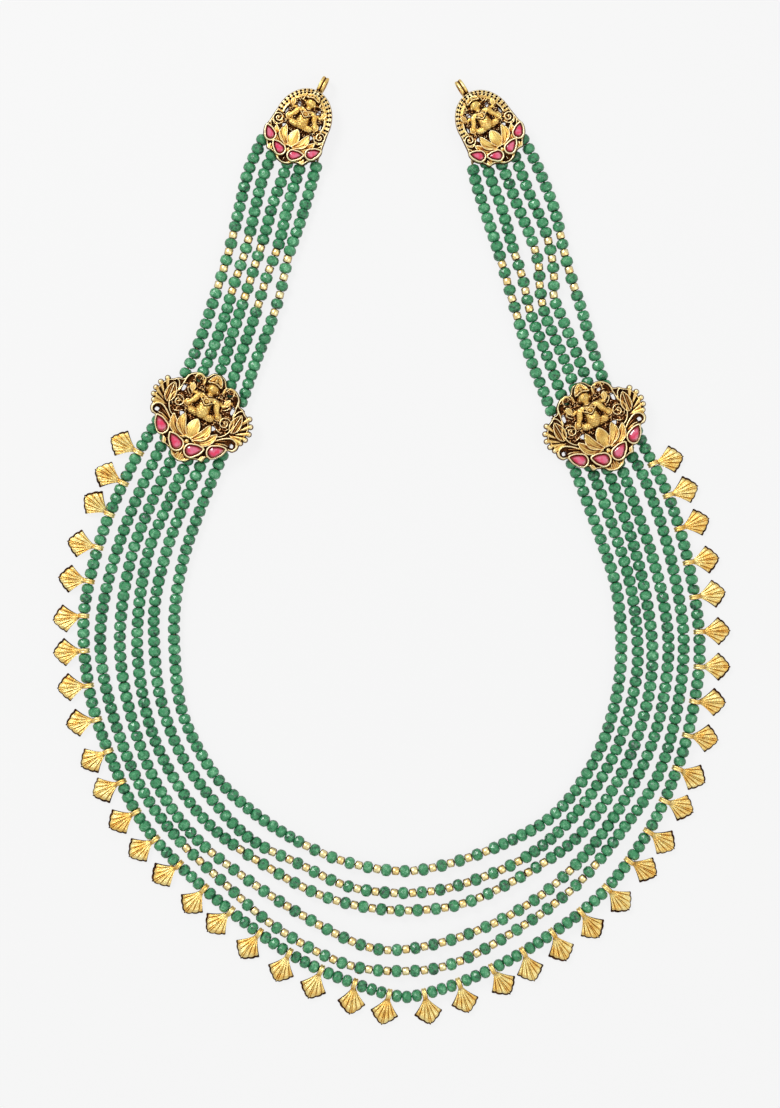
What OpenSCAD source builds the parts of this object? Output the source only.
// Temple necklace laid flat, open at the top, in millimetres, +Z up.
// The front faces up. The beads rest on z = 0, and +Y runs from the lowest drop to the end rings.

/* [Green and gold beads] */
// Diameter of a green bead
bead_d = 4; // [3.6:0.1:4]
// Length of a green bead along its thread
bead_l = 2.85; // [2.7:0.05:2.85]
// Diameter of the hole through a bead
bead_bore_d = 1.1; // [1:0.1:1.3]
// Diameter of the thread
thread_d = 0.7; // [0.5:0.1:0.7]

/* [Fan drops] */
// Number of fan drops on the outer string
drop_count = 41; // [35:1:41]
// Green beads between two drops
beads_between = 3; // [2:1:3]
// Outer diameter of the ring that carries a drop
drop_ring_d = 3.7; // [3.4:0.1:3.8]
// Length of that ring along the thread
drop_ring_l = 1.5; // [1.2:0.1:1.5]
// Width of a fan from corner to corner
fan_w = 8.6; // [7:0.2:8.8]
// Height of a fan from its neck to its lower edge
fan_h = 8.4; // [7:0.2:8.6]
// Thickness of a fan without its ribs
fan_t = 2; // [1.4:0.1:2.2]

/* [Cast pieces] */
// Height of the wall behind a plate, which clears the beads
case_h = 4.3; // [4.2:0.1:4.6]
// Thickness of that wall
case_t = 1.2; // [1:0.1:1.4]
// Thickness of the pierced plate
plate_t = 1; // [0.8:0.1:1.2]
// Height of the low relief above the plate
low_relief = 0.8; // [0.5:0.1:1]
// Height of the settings and petals above the plate
high_relief = 1.5; // [1.2:0.1:1.8]

/* [Settings and end rings] */
// Wall of a stone setting
setting_t = 0.65; // [0.5:0.05:0.7]
// Gap between a stone and its setting
stone_gap = 0.1; // [0.08:0.01:0.15]
// Hole of an end ring
ring_hole_d = 3.8; // [3.4:0.1:4]
// Outer diameter of an end ring
ring_d = 5.8; // [5.6:0.1:6]
// Width of an end ring along its hole
ring_w = 2.1; // [1.8:0.1:2.2]

/* [Hidden] */
$fn = 32;

gold = [0.83, 0.64, 0.25];
jade = [0.24, 0.55, 0.38];
pink = [0.88, 0.27, 0.47];
linen = [0.75, 0.70, 0.58];

// Places and routes are measured from the middle of the view, and centre moves them to the box's middle
centre = [0.5, 0.92];
axis_z = bead_d / 2;
plate_z = case_h;
relief_z = plate_z + plate_t;
// How far one solid reaches into the next where they are cast as one
sink = 0.2;

// Places of the four cast pieces: middle, turn, and 1 where the piece is mirrored
plaque_left = [[-29.8, 136.3], -27, 0];
plaque_right = [[32.4, 136.1], 32, 1];
medallion_left = [[-60.8, 43.8], -27, 0];
medallion_right = [[65.9, 41], 25, 1];

// Walls behind the plates: half width at the bottom, bottom, half width at the top, top, middle of the width
medallion_case = [12.8, -5.4, 11.9, 8.2, 0];
plaque_case = [10.4, -6.2, 6, 8.6, 1];

// Where the threads enter those walls, from the string nearest the neck opening outwards
thread_in = 1;
lower_entry_left = [11.8, 7.2, 2.6, -2, -6.6, -11.3];
lower_entry_right = [12.1, 7.6, 3.1, -1.5, -6.3, -11.2];
upper_entry_left = [9.8, 4.6, -0.5, -5.4, -10.4];
upper_entry_right = [11.2, 6.6, 1.9, -2.9, -7.9];
plaque_entry_left = [10.4, 5.8, 1.2, -3.5, -8.2];
plaque_entry_right = [10.6, 6.5, 2.2, -2.3, -6.9];

// Route points between the walls, from the left medallion down and round to the right one
lower_points = [
    [[-56, 26], [-61, 13.5], [-65.5, 0.5], [-68.5, -14], [-69, -30], [-66.5, -50.5], [-57, -69.5],
     [-44, -82.5], [-27.5, -93], [-12.5, -99], [5, -101.5], [21, -98.5], [38, -92], [53, -83],
     [65, -67], [71.5, -50], [74, -32], [72.5, -11.5], [67, 6], [60.5, 23.5]],
    [[-61, 27.5], [-67, 13.5], [-71.5, 1], [-75, -14], [-75.5, -28], [-73.5, -46], [-67, -64],
     [-57, -78.5], [-45, -91], [-29.5, -99], [-13, -106.5], [5, -108.5], [22, -106], [43.5, -97],
     [60, -82.5], [72, -63.5], [78.5, -41.5], [79, -25], [76.5, -8], [71.5, 8], [65.5, 24.5]],
    [[-65.5, 28.5], [-72, 14], [-77.5, 0], [-80.5, -18.5], [-80.5, -36], [-76.5, -56], [-68.5, -73],
     [-58, -86.5], [-45, -96.5], [-25, -108], [-8, -113], [9, -114], [26, -111], [46.5, -100.5],
     [62, -88.5], [74.5, -69.5], [81.5, -51], [84, -33.5], [82.5, -17], [79, -1], [75, 12], [70, 26]],
    [[-70, 30], [-76.5, 16], [-82.5, 0], [-86, -19], [-86, -36], [-82, -55], [-75, -73],
     [-64, -89], [-50, -101], [-30, -114.5], [-9.5, -125], [5, -126.5], [25.5, -121.5],
     [46.3, -110.7], [63.7, -94.8], [77.5, -74.5], [85.5, -55.5], [89, -34], [88, -18], [84, -1],
     [79, 14], [74.5, 26.5]],
    [[-74.5, 32], [-83.5, 12], [-89.5, -6], [-92.5, -22], [-92, -37], [-87, -57], [-79, -76],
     [-68, -91], [-54, -104.5], [-36.5, -119.5], [-15, -131], [3.5, -133.5], [20.5, -131],
     [41, -120], [59.8, -105.8], [75, -87.5], [86, -70.5], [92, -49], [94, -28], [91.5, -9],
     [87, 9], [81, 25], [77, 32]],
    [[-81, 31.5], [-91, 9.5], [-97, -12.5], [-98, -28], [-95.5, -47], [-89, -66], [-79.5, -85.5],
     [-66, -101], [-45, -119], [-24.5, -132], [0, -141], [12, -140.5], [30, -134], [48, -124],
     [67, -109.5], [82, -90], [92, -68.5], [97.5, -47], [99, -27], [95.5, -3], [89.5, 17.5], [81.5, 34]]
];

// Route points of the upper strings, from the plaque down to the medallion
upper_left_points = [
    [[-25, 119], [-28.5, 107], [-32.5, 95.5], [-35, 84], [-38.5, 73], [-43, 61.5], [-46.5, 51]],
    [[-30, 120], [-33, 110], [-35.5, 99.5], [-39.5, 88.5], [-43, 77], [-46.5, 67], [-50, 56.5]],
    [[-34, 121.5], [-37.5, 112], [-40, 102.5], [-43.5, 91.5], [-47, 80.5], [-50.5, 70], [-53.5, 60.5]],
    [[-40.5, 121], [-43, 111], [-46, 98], [-50, 86], [-53, 75.5], [-57.5, 63.5]],
    [[-45, 123.5], [-48, 111.5], [-51.5, 97], [-57, 79.5], [-61.5, 66.5]]
];
upper_right_points = [
    [[27.5, 119], [31, 108], [34.5, 97.5], [38, 85.5], [41.5, 73.5], [45.5, 61], [49.5, 51]],
    [[32.5, 119.5], [36, 110], [39, 99], [42.5, 88], [45, 77], [49, 66.5], [53, 56]],
    [[37, 121.5], [41, 111], [45, 101.5], [47.5, 93], [48, 85], [49.5, 77], [53, 68.5], [57, 59]],
    [[40.5, 126], [44.5, 115.5], [49, 105.5], [51.5, 96.5], [52.5, 88.5], [52.5, 82], [55.5, 74.5],
     [60, 63.5]],
    [[45, 128.5], [49.5, 118.5], [53.1, 108.5], [55.3, 98.5], [58, 88.5], [61.5, 77.5], [65, 65]]
];

// Lean of each drop from square to its string, in degrees, left end first
drop_lean = [
    0, 0, -15, 5, 5, 12, 0, -5, -8, 8, 2, 0, -6, -14, 2, -10, 0, 6, 0, 10, 0,
    -3, -3, 9, -10, -9, -3, -2, 8, -3, 2, -7, 6, 8, 4, -2, 0, -4, 2, -4, -14
];

// How far the drops have slipped along the string from even places: share of the row, distance
drop_slip = [
    [0, -0.1], [0.05, -0.6], [0.2, -0.5], [0.3, -2.4], [0.38, -2.6], [0.58, 0.3], [0.73, 0.6], [0.83, 0.2],
    [1, 0.4]
];

// Smooth curve through a list of points, and its length
function spline_at(p, i, t) =
    let (a = p[max(i - 1, 0)], b = p[i], c = p[i + 1], d = p[min(i + 2, len(p) - 1)])
    (2 * b + (c - a) * t + (2 * a - 5 * b + 4 * c - d) * t * t + (3 * b - a - 3 * c + d) * t * t * t) / 2;
function spline(p, n) =
    concat([for (i = [0 : len(p) - 2], k = [0 : n - 1]) spline_at(p, i, k / n)], [p[len(p) - 1]]);
function loop_at(p, i, t) =
    let (m = len(p), q = [p[(i + m - 1) % m], p[i], p[(i + 1) % m], p[(i + 2) % m]])
    spline_at(q, 1, t);
function closed_spline(p, n) = [for (i = [0 : len(p) - 1], k = [0 : n - 1]) loop_at(p, i, k / n)];
function steps(q) = [for (i = [0 : len(q) - 1]) i == 0 ? 0 : norm(q[i] - q[i - 1])];
function running(d) = [for (i = 0, s = d[0]; i < len(d); i = i + 1, s = s + (i < len(d) ? d[i] : 0)) s];

// A route is looked up by the distance along it
function route(p) =
    let (q = spline(p, 10), s = running(steps(q)))
    [[for (i = [0 : len(q) - 1]) [s[i], q[i].x]], [for (i = [0 : len(q) - 1]) [s[i], q[i].y]], s[len(s) - 1]];
function route_at(r, s) = [lookup(s, r[0]), lookup(s, r[1])];
function heading(r, s) =
    let (d = route_at(r, min(s + 0.5, r[2])) - route_at(r, max(s - 0.5, 0)))
    atan2(d.y, d.x);

// A point of a cast piece, in the frame of the routes
function on_piece(piece, x, y) =
    let (u = piece[2] == 1 ? -x : x, a = piece[1])
    piece[0] + [u * cos(a) - y * sin(a), u * sin(a) + y * cos(a)];
function lower_route(i) = route(concat(
    [on_piece(medallion_left, lower_entry_left[i], medallion_case[1] + thread_in)],
    lower_points[i],
    [on_piece(medallion_right, lower_entry_right[i], medallion_case[1] + thread_in)]
));
function upper_route(plaque, medallion, from_x, to_x, points) = route(concat(
    [on_piece(plaque, from_x, plaque_case[1] + thread_in)],
    points,
    [on_piece(medallion, to_x, medallion_case[3] - thread_in)]
));
lower_routes = [for (i = [0 : 5]) lower_route(i)];
upper_left_routes = [for (i = [0 : 4]) upper_route(
    plaque_left, medallion_left, plaque_entry_left[i], upper_entry_left[i], upper_left_points[i])];
upper_right_routes = [for (i = [0 : 4]) upper_route(
    plaque_right, medallion_right, plaque_entry_right[i], upper_entry_right[i], upper_right_points[i])];

// The outer string: beads in threes between drop rings, and four beads at each end
end_beads = 4;
outer = lower_routes[5];
outer_clear = 1.4;
outer_items = 2 * end_beads + (drop_count - 1) * beads_between + drop_count;
outer_solid = (outer_items - drop_count) * bead_l + drop_count * drop_ring_l;
outer_gap = (outer[2] - 2 * outer_clear - outer_solid) / (outer_items - 1);
group_pitch = drop_ring_l + beads_between * bead_l + (beads_between + 1) * outer_gap;
first_ring = outer_clear + end_beads * (bead_l + outer_gap) + drop_ring_l / 2;
function ring_place(i) = first_ring + i * group_pitch + lookup(i / (drop_count - 1), drop_slip);
function spread(from, to, n) =
    let (pitch = (to - from + bead_l) / (n + 1))
    [for (k = [1 : n]) from - bead_l / 2 + k * pitch];
function after_ring(i) = ring_place(i) + drop_ring_l / 2;
function before_ring(i) = ring_place(i) - drop_ring_l / 2;
bead_places = concat(
    spread(outer_clear - outer_gap, before_ring(0), end_beads),
    [for (i = [0 : drop_count - 2]) each spread(after_ring(i), before_ring(i + 1), beads_between)],
    spread(after_ring(drop_count - 1), outer[2] - outer_clear + outer_gap, end_beads)
);
left_drops = ceil(drop_count / 2);

// Tubes that stand for whole strings of beads
tube_sides = 8;
tube_r = bead_d / 2 / cos(180 / tube_sides);
tube_clear = 0.9;
tube_step = 10;
thread_r = thread_d / 2;
thread_step = 6;

// Stones of the medallion and of the plaque: round end x and y, turn of the tip, radius, length to the tip
medallion_stones = [
    [-9.2, -8.2, 48, 1.7, 3.7], [-2.5, -10.9, 57, 1.7, 3.7],
    [2.5, -10.9, -57, 1.7, 3.7], [9.2, -8.2, -48, 1.7, 3.7]
];
plaque_stones = [
    [-6.2, -6, 45, 1.3, 3], [-1.4, -8.8, 63, 1.3, 3],
    [3.1, -8.8, -63, 1.3, 3], [8.1, -6, -45, 1.3, 3]
];
stone_h = 1.7;
stone_points = 12;
stone_seat = 0.05;
// Share of the outline and of the height at the foot, below and above the girdle, and at the table
stone_levels = [[0.5, 0], [0.94, 0.45], [0.94, 0.6], [0.6, 1]];

// Flat shapes of the relief
function pear(r, l, n) =
    let (from = 90 + acos(r / l), step = (360 - 2 * acos(r / l)) / (n - 2))
    concat([[0, l]], [for (k = [0 : n - 2]) r * [cos(from + k * step), sin(from + k * step)]]);
function petal(w, l, bend, n) =
    let (side = [for (k = [0 : n]) [w / 2 * pow(sin(180 * k / n), 0.75), l * k / n]])
    let (loop = concat(side, [for (k = [n - 1 : -1 : 1]) [-side[k].x, side[k].y]]))
    [for (q = loop) [q.x + bend * pow(q.y / l, 2), q.y]];
function ribbon(q, w) =
    let (
        m = len(q) - 1,
        n = [for (i = [0 : m]) let (d = q[min(i + 1, m)] - q[max(i - 1, 0)]) [-d.y, d.x] / norm(d)]
    )
    concat([for (i = [0 : m]) q[i] + n[i] * w / 2], [for (i = [m : -1 : 0]) q[i] - n[i] * w / 2]);

module both_sides(x = 0) {
    translate([x, 0]) children();
    translate([x, 0]) mirror([1, 0]) children();
}
module band(points, w) polygon(ribbon(spline(points, 4), w));
module teardrop(x, y, turn, w, l) translate([x, y]) rotate(turn) polygon(pear(w / 2, l, 8));
module placed(piece) translate(piece[0]) rotate(piece[1]) mirror([piece[2], 0, 0]) children();
module laid() translate([-centre.x, -centre.y, 0]) children();

// One polyhedron swept along a route; a ring is [distance along it, radius]
module swept(r, rings) {
    n = tube_sides;
    last = (len(rings) - 1) * n;
    points = [
        for (g = rings, k = [0 : n - 1])
        let (c = route_at(r, g[0]), h = heading(r, g[0]), a = 360 * (k + 0.5) / n)
        [c.x - g[1] * cos(a) * sin(h), c.y + g[1] * cos(a) * cos(h), axis_z + g[1] * sin(a)]
    ];
    sides = [
        for (i = [0 : len(rings) - 2], k = [0 : n - 1])
        let (a = i * n + k, b = i * n + (k + 1) % n)
        each [[a, a + n, b + n], [a, b + n, b]]
    ];
    caps = [[for (k = [0 : n - 1]) k], [for (k = [n - 1 : -1 : 0]) last + k]];
    polyhedron(points, concat(sides, caps), convexity = 6);
}

// A string of beads as one tube, with a bare thread end in each wall
module bead_tube(r) {
    from = thread_in + tube_clear;
    to = r[2] - from;
    n = ceil((to - from) / tube_step);
    laid() swept(r, concat(
        [[0, thread_r], [from, thread_r]],
        [for (i = [0 : n]) [from + (to - from) * i / n, tube_r]],
        [[to, thread_r], [r[2], thread_r]]
    ));
}

// One green bead, its hole along x
bead_rim = 0.6;
module bead() {
    l = bead_l / 2;
    r = bead_d / 2;
    b = bead_bore_d / 2;
    rotate([0, 90, 0]) rotate_extrude()
        polygon([[b, -l], [b + bead_rim, -l], [r * 0.86, -l * 0.62], [r, -l * 0.2],
                 [r, l * 0.2], [r * 0.86, l * 0.62], [b + bead_rim, l], [b, l]]);
}

module on_outer(s) {
    c = route_at(outer, s);
    laid() translate([c.x, c.y, axis_z]) rotate(heading(outer, s)) children();
}

// Outline of a fan below its neck: hollow sides down to the corners, then seven scallops along a lower edge
// that is straighter than an ellipse
scallops = 7;
scallop = 0.07;
straightness = 1.6;
corner_h = 0.51 * fan_h;
function fan_edge(a, grow) =
    let (
        f = 1 + scallop * abs(sin(scallops * a)) + grow,
        across = sign(cos(a)) * pow(abs(cos(a)), straightness),
        down = pow(sin(a), straightness)
    )
    [fan_w / 2 * across * f, -corner_h - (fan_h - corner_h) / (1 + scallop) * down * f];
fan_side = [[0.6, 0.5], [0.6, 0], [0.9, -0.12 * fan_h], [1.75, -0.26 * fan_h], [0.36 * fan_w, -0.41 * fan_h]];
function fan_outline() = concat(
    [for (q = fan_side) [-q.x, q.y]],
    [for (k = [0 : 4 * scallops]) fan_edge(180 - 180 * k / (4 * scallops), 0)],
    [for (i = [len(fan_side) - 1 : -1 : 0]) fan_side[i]]
);
rib_w = 0.9;
rib_h = 0.6;
module fan_ribs() {
    for (k = [0 : scallops - 1]) {
        a = 180 * (k + 0.5) / scallops;
        tip = fan_edge(a, -0.12);
        half = rib_w / 2 * [sin(a), cos(a)];
        polygon([[cos(a) * 0.3, -1], tip - half, tip + half]);
    }
}
drop_bore_d = bead_bore_d + 0.1;
module fan_drop(lean) {
    difference() {
        union() {
            rotate([0, 90, 0]) cylinder(h = drop_ring_l, d = drop_ring_d, center = true);
            rotate(lean) translate([0, -drop_ring_d / 2, -axis_z]) {
                linear_extrude(fan_t) polygon(fan_outline());
                translate([0, 0, fan_t - sink]) linear_extrude(rib_h + sink) fan_ribs();
            }
        }
        rotate([0, 90, 0]) cylinder(h = 3 * drop_ring_l, d = drop_bore_d, center = true);
    }
}
module fan_drops(from, to) {
    color(gold) for (i = [from : to]) on_outer(ring_place(i)) fan_drop(drop_lean[i]);
}

// Pear-cut stone with a table, crown, girdle and pavilion, just above the plate
module stone(s) {
    n = stone_points;
    middle = 0.4 * s[3];
    points = [
        for (v = stone_levels, q = pear(s[3], s[4], n))
        [q.x * v[0], q.y * v[0] + (1 - v[0]) * middle, v[1] * stone_h]
    ];
    last = (len(stone_levels) - 1) * n;
    sides = [
        for (i = [0 : len(stone_levels) - 2], k = [0 : n - 1])
        let (a = i * n + k, b = i * n + (k + 1) % n)
        each [[a, a + n, b + n], [a, b + n, b]]
    ];
    caps = [[for (k = [0 : n - 1]) k], [for (k = [n - 1 : -1 : 0]) last + k]];
    translate([s[0], s[1], relief_z + stone_seat]) rotate(s[2]) polyhedron(points, concat(sides, caps));
}
module placed_stone(piece, s) color(pink) laid() placed(piece) stone(s);

// Setting round a stone: a pear-shaped wall
module setting(s) {
    h = high_relief + sink;
    translate([s[0], s[1], relief_z - sink]) rotate(s[2]) linear_extrude(h) difference() {
        polygon(pear(s[3] + setting_t + stone_gap, s[4] + 1.6 * setting_t, 20));
        polygon(pear(s[3] + stone_gap, s[4] + 2 * stone_gap, 20));
    }
}

// Open-backed wall that the threads enter, below the plate
function case_outline(c, t) = [
    [c[4] - c[0] + t, c[1] + t], [c[4] + c[0] - t, c[1] + t],
    [c[4] + c[2] - t, c[3] - t], [c[4] - c[2] + t, c[3] - t]
];
module case_wall(c) {
    linear_extrude(case_h + sink) difference() {
        polygon(case_outline(c, 0));
        polygon(case_outline(c, case_t));
    }
}
thread_play = 0.5;
module thread_hole(r, at_end) {
    s = at_end ? r[2] : 0;
    c = route_at(r, s);
    translate([c.x, c.y, axis_z]) rotate([0, 90, heading(r, s)])
        cylinder(h = 4 * case_t, d = thread_d + thread_play, center = true);
}

// Domed petal: a leaf outline under a round top that falls off to its sides
module domed_petal(x, y, turn, w, l, bend, h) {
    arch = w * 0.75;
    translate([x, y, relief_z - sink]) rotate(turn) intersection() {
        linear_extrude(h + sink) polygon(petal(w, l, bend, 8));
        translate([bend * 0.3, -1, h + sink - arch]) rotate([-90, 0, 0]) cylinder(h = l + 2, r = arch);
    }
}
module lotus(x, k) {
    domed_petal(x, -7.3 * k, 0, 4.6 * k, 6.6 * k, 0, high_relief);
    both_sides(x) {
        domed_petal(1.2 * k, -7.1 * k, -20, 2.7 * k, 6.5 * k, -0.5, high_relief - 0.3);
        domed_petal(1.6 * k, -7.4 * k, -48, 2.5 * k, 7.6 * k, -1.2, high_relief - 0.5);
    }
    translate([x, -8 * k, relief_z - sink]) sphere(r = 0.9);
}

// Seated figure: head with a plain face, crown, neck, body, folded legs, and hands that hold buds.
// Its back is cut off within the plate, above the strings that pass below
module limb(a, b, r) {
    d = b - a;
    translate([a.x, a.y, relief_z]) {
        rotate([-90, 0, atan2(d.y, d.x) - 90]) cylinder(h = norm(d), r = r);
        sphere(r = r);
    }
    translate([b.x, b.y, relief_z]) sphere(r = r);
}
module upright(y, h, r_low, r_high) {
    translate([0, y, relief_z - sink]) rotate([-90, 0, 0]) cylinder(h = h, r1 = r_low, r2 = r_high);
}
module figure(share) {
    head_y = 10;
    difference() {
        translate([0, 0, relief_z * (1 - share)]) scale(share) {
            translate([0, head_y, relief_z - sink]) sphere(r = 2);
            upright(head_y + 1.2, 3, 1.9, 0.7);
            limb([0, head_y - 1.5], [0, head_y - 3], 0.8);
            upright(1.4, head_y - 4.4, 1.7, 2.3);
            both_sides() {
                limb([0.8, 0.9], [3.8, 0.7], 1.1);
                limb([1.4, head_y - 3.6], [3.9, head_y - 5], 0.85);
                limb([3.9, head_y - 5], [4.7, 2.6], 0.7);
                limb([3.1, head_y - 3.4], [5.4, head_y - 3], 0.6);
                translate([4.8, 2.5, relief_z + 0.1]) sphere(r = 1.15);
                translate([5.7, head_y - 2.4, relief_z]) sphere(r = 0.9);
            }
        }
        translate([-10, -10, 0]) cube([20, 30, relief_z - 3 * sink]);
    }
}
module halo(y, r) {
    translate([0, y, relief_z - sink]) linear_extrude(low_relief + sink) difference() {
        circle(r = r);
        circle(r = r - 0.8);
        translate([-2 * r, -2 * r - 1]) square([4 * r, 2 * r]);
    }
}

// Small rounded tab with three rays below the middle stones
module tab(x, y, r) {
    for (a = [-35, 0, 35]) teardrop(x + 0.5 * r * sin(a), y - 0.55 * r, 180 + a, 0.9, 0.45 * r);
}

// Side medallion
medallion_half = [
    [0, 15], [2.2, 14.3], [3.7, 12.4], [5.2, 12.9], [7.4, 12.3], [9.3, 10.6], [10, 8.8], [11.6, 8.3],
    [12.7, 7.3], [13.7, 6.8], [14.9, 5.7], [15.7, 4.1], [16.2, 2.4], [16, 0.6], [15.4, -1.4], [15.6, -4],
    [14.4, -5.6], [12.9, -5.9], [11.9, -8.3], [9.6, -10.6], [7.9, -10.9], [7.2, -12.7], [5.6, -12.8],
    [3.6, -13.7], [2.6, -15], [0, -15.8]
];
medallion_gaps = [
    [[8.1, 7.4], [9.1, 6.9], [9, 5.1], [8.1, 5.6]],
    [[4.9, -0.9], [6.4, -1.2], [5.5, -2.3]],
    [[4.9, 10.4], [6.3, 10.6], [6.2, 9.9], [5, 9.7]],
    [[12.6, -3.4], [13.7, -3.3], [13.9, -4.3], [12.7, -4.3]]
];
hook = [[7.3, -5.4], [9.8, -3.6], [12.6, -2.1], [14.8, -2.9], [14.9, -4.6]];
vine = [[7.1, -3.2], [9.2, -2.2], [10.6, -0.1], [10.8, 2.2], [9.7, 3.9], [8, 4.1], [6.7, 3],
        [6.6, 1.5], [7.7, 0.5], [8.9, 1.1], [8.8, 2.2]];
upper_curl = [[3.3, 10], [3.9, 11.5], [5.4, 12.1], [6.9, 11.4], [7.2, 10.1]];
frame_stem = [[7.7, 11.5], [9.2, 9.9], [9.6, 7.8], [9.4, 5.2]];
leaf_hook = [[10.2, 4.8], [10.1, 6.5], [10.9, 7.5], [11.9, 7.1]];
comb_hub = [10.8, -1];
comb_angles = [-8, 10, 28, 46, 63];
function comb_end(a) = comb_hub + (5.1 + 0.052 * a) * [cos(a), sin(a)];

module half_outline(half) {
    right = spline(half, 3);
    polygon(concat(right, [for (i = [len(right) - 2 : -1 : 1]) [-right[i].x, right[i].y]]));
}
module gaps(list) for (g = list) polygon(closed_spline(g, 4));
module medallion_low() {
    both_sides() {
        band(hook, 1);
        band(vine, 0.8);
        band(upper_curl, 0.8);
        band(frame_stem, 0.8);
        band(leaf_hook, 0.7);
        teardrop(11.8, 1.6, 4, 2.2, 4.8);
        for (a = comb_angles) teardrop(comb_end(a).x, comb_end(a).y, a + 90, 1.3, 4.2);
        teardrop(6.7, -11.7, 15, 0.9, 1.7);
    }
    tab(0, -12.4, 3.2);
}
module medallion_solid() {
    case_wall(medallion_case);
    translate([0, 0, plate_z]) linear_extrude(plate_t) difference() {
        union() {
            half_outline(medallion_half);
            both_sides() for (a = comb_angles) translate(comb_end(a)) circle(r = 0.9);
        }
        both_sides() gaps(medallion_gaps);
    }
    translate([0, 0, relief_z - sink]) linear_extrude(low_relief + sink) medallion_low();
    halo(10.7, 4.1);
    for (s = medallion_stones) setting(s);
    lotus(0, 1);
    figure(1);
}
module side_medallion(piece, upper, at_end) {
    color(gold) laid() difference() {
        placed(piece) medallion_solid();
        for (r = upper) thread_hole(r, true);
        for (r = lower_routes) thread_hole(r, at_end);
    }
}

// End plaque; its middle line stands at plaque_x
plaque_x = 0.9;
dome_y = 2.4;
dome_w = 9.1;
dome_h = 10.9;
plaque_foot = [
    [9.1, 2.4], [9.4, 0], [9.7, -2.5], [10.2, -4.4], [9.3, -7], [7.4, -8.7], [6.4, -10.4], [4.8, -10.4],
    [3.2, -11], [1.9, -12.1], [0, -12.5]
];
plaque_gaps = [
    [[3, 6.2], [4, 7], [3.6, 7.9], [2.9, 7.2]],
    [[4.3, -0.6], [5.4, -1], [4.7, -1.9]],
    [[6, 2.2], [6.5, 3.4], [6.2, 4.4], [5.7, 3.3]]
];
dot_rows = [[7.7, 9.5], [8.5, 10.3]];
dots_in_row = 21;
dot_d = 0.5;
dot_depth = 0.6;
plaque_spiral = [
    [5.4, -2], [6.9, -2.4], [8.4, -1.1], [8.7, 0.8], [7.5, 2], [6.1, 1.3], [5.9, 0], [6.9, -0.8], [7.7, 0]
];
plaque_curl = [[3.5, 8.4], [4.6, 8.6], [5.5, 7.7], [5.2, 6.6]];
function dome(rx, ry, a) = [rx * cos(a), dome_y + ry * sin(a)];
module plaque_outline() {
    right = concat([for (a = [90 : -9 : 9]) dome(dome_w, dome_h, a)], spline(plaque_foot, 3));
    polygon(concat(right, [for (i = [len(right) - 2 : -1 : 1]) [-right[i].x, right[i].y]]));
}
module plaque_dots() {
    for (row = dot_rows, i = [0 : dots_in_row - 1])
        translate(dome(row[0], row[1], 3 + 174 * i / (dots_in_row - 1))) circle(d = dot_d, $fn = 13);
}
module plaque_low() {
    arch = [for (a = [-4 : 8 : 184]) dome(6.8, 8.5, a)];
    polygon(ribbon(arch, 0.6));
    both_sides() {
        band(plaque_spiral, 0.7);
        band(plaque_curl, 0.7);
        teardrop(5.6, -9.3, 15, 0.9, 1.7);
    }
    tab(0, -9.6, 2.6);
}
module plaque_solid() {
    case_wall(plaque_case);
    translate([plaque_x, 0, plate_z]) difference() {
        linear_extrude(plate_t) difference() {
            plaque_outline();
            both_sides() gaps(plaque_gaps);
        }
        translate([0, 0, plate_t - dot_depth]) linear_extrude(plate_t) plaque_dots();
    }
    translate([plaque_x, 0, relief_z - sink]) linear_extrude(low_relief + sink) plaque_low();
    for (s = plaque_stones) setting(s);
    lotus(plaque_x, 0.88);
    translate([plaque_x, 0, 0]) {
        figure(0.88);
        halo(9.2, 3.2);
    }
}
module end_plaque(piece, upper) {
    color(gold) laid() difference() {
        placed(piece) {
            difference() {
                plaque_solid();
                shank_slot();
            }
        }
        for (r = upper) thread_hole(r, false);
    }
}

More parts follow.
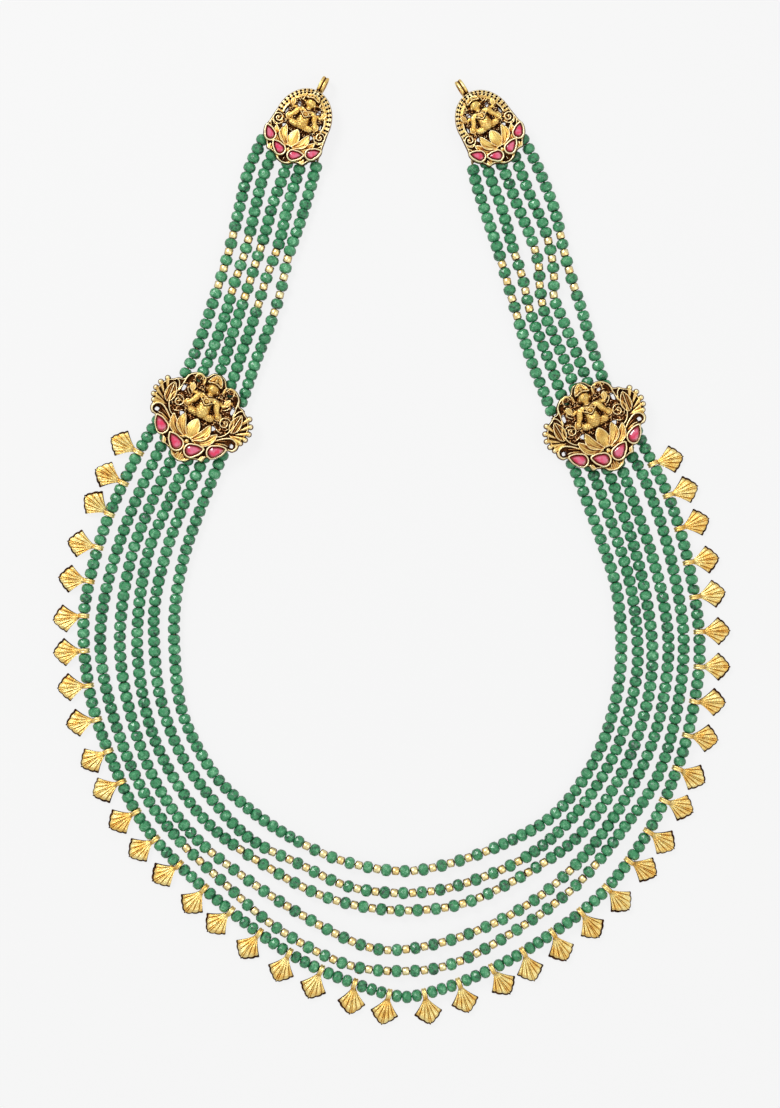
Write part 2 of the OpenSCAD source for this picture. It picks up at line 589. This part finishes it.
// End ring with two raised strips, on a flat shank that reaches through a slot of the plaque's wall
shank_w = 2;
shank_t = 1.4;
shank_foot = plaque_case[3] - case_t - 0.6;
slot_play = 0.15;
ring_x = 1.2;
ring_y = 15.8;
strip_w = 0.36 * ring_w;
strip_x = 0.27 * ring_w;
strip_t = 0.15;
module shank_slot() {
    translate([
        ring_x - shank_w / 2 - slot_play, plaque_case[3] - 2 * case_t, (ring_d - shank_t) / 2 - slot_play
    ])
        cube([shank_w + 2 * slot_play, 3 * case_t, shank_t + 2 * slot_play]);
}
module round_band(x, w, d) {
    translate([ring_x + x, ring_y, ring_d / 2]) rotate([0, 90, 0]) cylinder(h = w, d = d, center = true);
}
module end_ring(piece) {
    reach = ring_y - (ring_hole_d + ring_d) / 4 - shank_foot;
    color(gold) laid() placed(piece) {
        difference() {
            union() {
                round_band(0, ring_w, ring_d - 2 * strip_t);
                round_band(strip_x, strip_w, ring_d);
                round_band(-strip_x, strip_w, ring_d);
            }
            round_band(0, 2 * ring_w, ring_hole_d);
        }
        translate([ring_x - shank_w / 2, shank_foot, (ring_d - shank_t) / 2]) cube([shank_w, reach, shank_t]);
    }
}

end_ring(plaque_left);  // end_ring_left
end_ring(plaque_right);  // end_ring_right
end_plaque(plaque_left, upper_left_routes);  // end_plaque_left
end_plaque(plaque_right, upper_right_routes);  // end_plaque_right
side_medallion(medallion_left, upper_left_routes, false);  // side_medallion_left
side_medallion(medallion_right, upper_right_routes, true);  // side_medallion_right
for (i = [0 : 3]) {
    placed_stone(plaque_left, plaque_stones[i]);
    placed_stone(plaque_right, plaque_stones[i]);
    placed_stone(medallion_left, medallion_stones[i]);
    placed_stone(medallion_right, medallion_stones[i]);
}
for (i = [0 : 4]) {
    color(jade) bead_tube(upper_left_routes[i]);
    color(jade) bead_tube(upper_right_routes[i]);
    color(jade) bead_tube(lower_routes[i]);
}
color(jade) for (s = bead_places) on_outer(s) bead();  // outer_beads
union() {  // outer_thread
    n = ceil(outer[2] / thread_step);
    color(linen) laid() swept(outer, [for (i = [0 : n]) [outer[2] * i / n, thread_r]]);
}
fan_drops(0, left_drops - 1);  // fan_drops_left
fan_drops(left_drops, drop_count - 1);  // fan_drops_right
